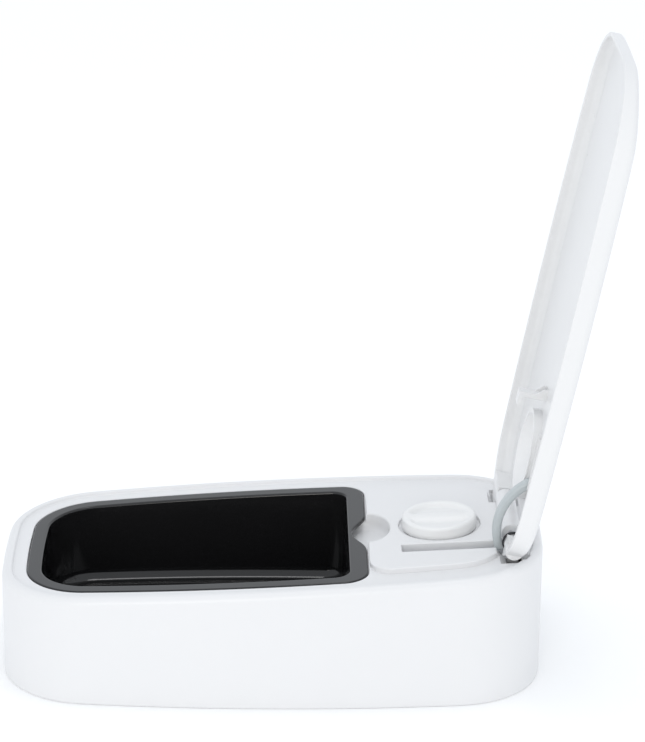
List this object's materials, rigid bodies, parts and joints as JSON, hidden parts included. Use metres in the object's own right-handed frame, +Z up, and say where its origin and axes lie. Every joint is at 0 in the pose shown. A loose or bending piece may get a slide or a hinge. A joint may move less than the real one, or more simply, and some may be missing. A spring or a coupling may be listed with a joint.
{
  "type": "automatic pet feeder",
  "caption": "Low white pet feeder with a removable black food bowl, a sprung hinged lid shown open, a rotary timer dial and a battery bay underneath.",
  "frame": {"origin": "centre of the footprint, on the surface the feeder stands on", "axes": "+X across the width, +Y from the bowl end towards the hinge end, +Z up"},
  "size_m": [0.1306, 0.274, 0.2812],
  "materials": {
    "housing": "satin white moulded plastic",
    "base_cover": "matte white",
    "battery_door": "matte white",
    "rubber": "matte",
    "steel": "plated",
    "spring_steel": "blackened",
    "contact": "nickel plated",
    "cell": "plain wrapped cell",
    "bowl": "polished black",
    "lid": "satin white moulded plastic",
    "arm": "light grey",
    "knob": "satin white",
    "acetal": "natural",
    "timer_case": "matte dark",
    "board": "solder mask",
    "coil": "enamelled wire",
    "red_lead": "insulation",
    "black_lead": "insulation"
  },
  "bodies": {
    "housing": {"housing": "housing", "base_cover": "base_cover", "base_screws": "steel", "rubber_feet": "rubber", "battery": "cell", "contact_spring": "contact", "contact_plate": "contact", "hinge_pin": "steel", "lid_spring": "spring_steel", "arm_pin": "steel", "mechanism_plate": "acetal", "mechanism_screws": "steel", "timer_cover": "timer_case", "timer_case": "timer_case", "timer_screws": "steel", "circuit_board": "board", "motor_coil": "coil", "latch_spring": "steel", "lead_red": "red_lead", "lead_black": "black_lead"},
    "battery_door": {"battery_door": "battery_door"},
    "bowl": {"bowl": "bowl"},
    "lid": {"lid": "lid"},
    "lift_arm": {"lift_arm": "arm"},
    "dial": {"dial_knob": "knob", "dial_shaft": "steel", "trip_cam": "acetal", "dial_gear": "acetal", "shaft_clip": "steel"},
    "pinion": {"timer_pinion": "acetal"},
    "latch": {"latch_bolt": "acetal"}
  },
  "joints": [
    {"name": "lid_hinge", "type": "hinge", "parent": "housing", "child": "lid", "pos_m": [0, 0.10563, 0.06449], "axis": [1, 0, 0], "range_deg": [0, 104.6], "stiffness_Nm_per_rad": 0.06, "springref_deg": -22.92},
    {"name": "lift_arm_pivot", "type": "hinge", "parent": "housing", "child": "lift_arm", "pos_m": [0, 0.101, 0.058], "axis": [1, 0, 0], "range_deg": [0, 100.62]},
    {"name": "dial_turn", "type": "hinge", "parent": "housing", "child": "dial", "pos_m": [0, 0.07488, 0.05932], "axis": [0, -0.057, 0.9984], "range_deg": [0, 325]},
    {"name": "pinion_turn", "type": "hinge", "parent": "housing", "child": "pinion", "pos_m": [0, 0.09417, 0.05041], "axis": [0, -0.057, 0.9984], "range_deg": [-1301, 1]},
    {"name": "latch_slide", "type": "slide", "parent": "housing", "child": "latch", "axis": [0, -0.9984, -0.057], "range_m": [0, 0.002]},
    {"name": "bowl_lift", "type": "slide", "parent": "housing", "child": "bowl", "axis": [0, 0, 1], "range_m": [0, 0.006]},
    {"name": "battery_door_slide", "type": "slide", "parent": "housing", "child": "battery_door", "axis": [0, -1, 0], "range_m": [0, 0.0055]}
  ],
  "couplings": [
    {"joint": "lift_arm_pivot", "follows": "lid_hinge", "ratio": 0.96},
    {"joint": "pinion_turn", "follows": "dial_turn", "ratio": -4}
  ]
}
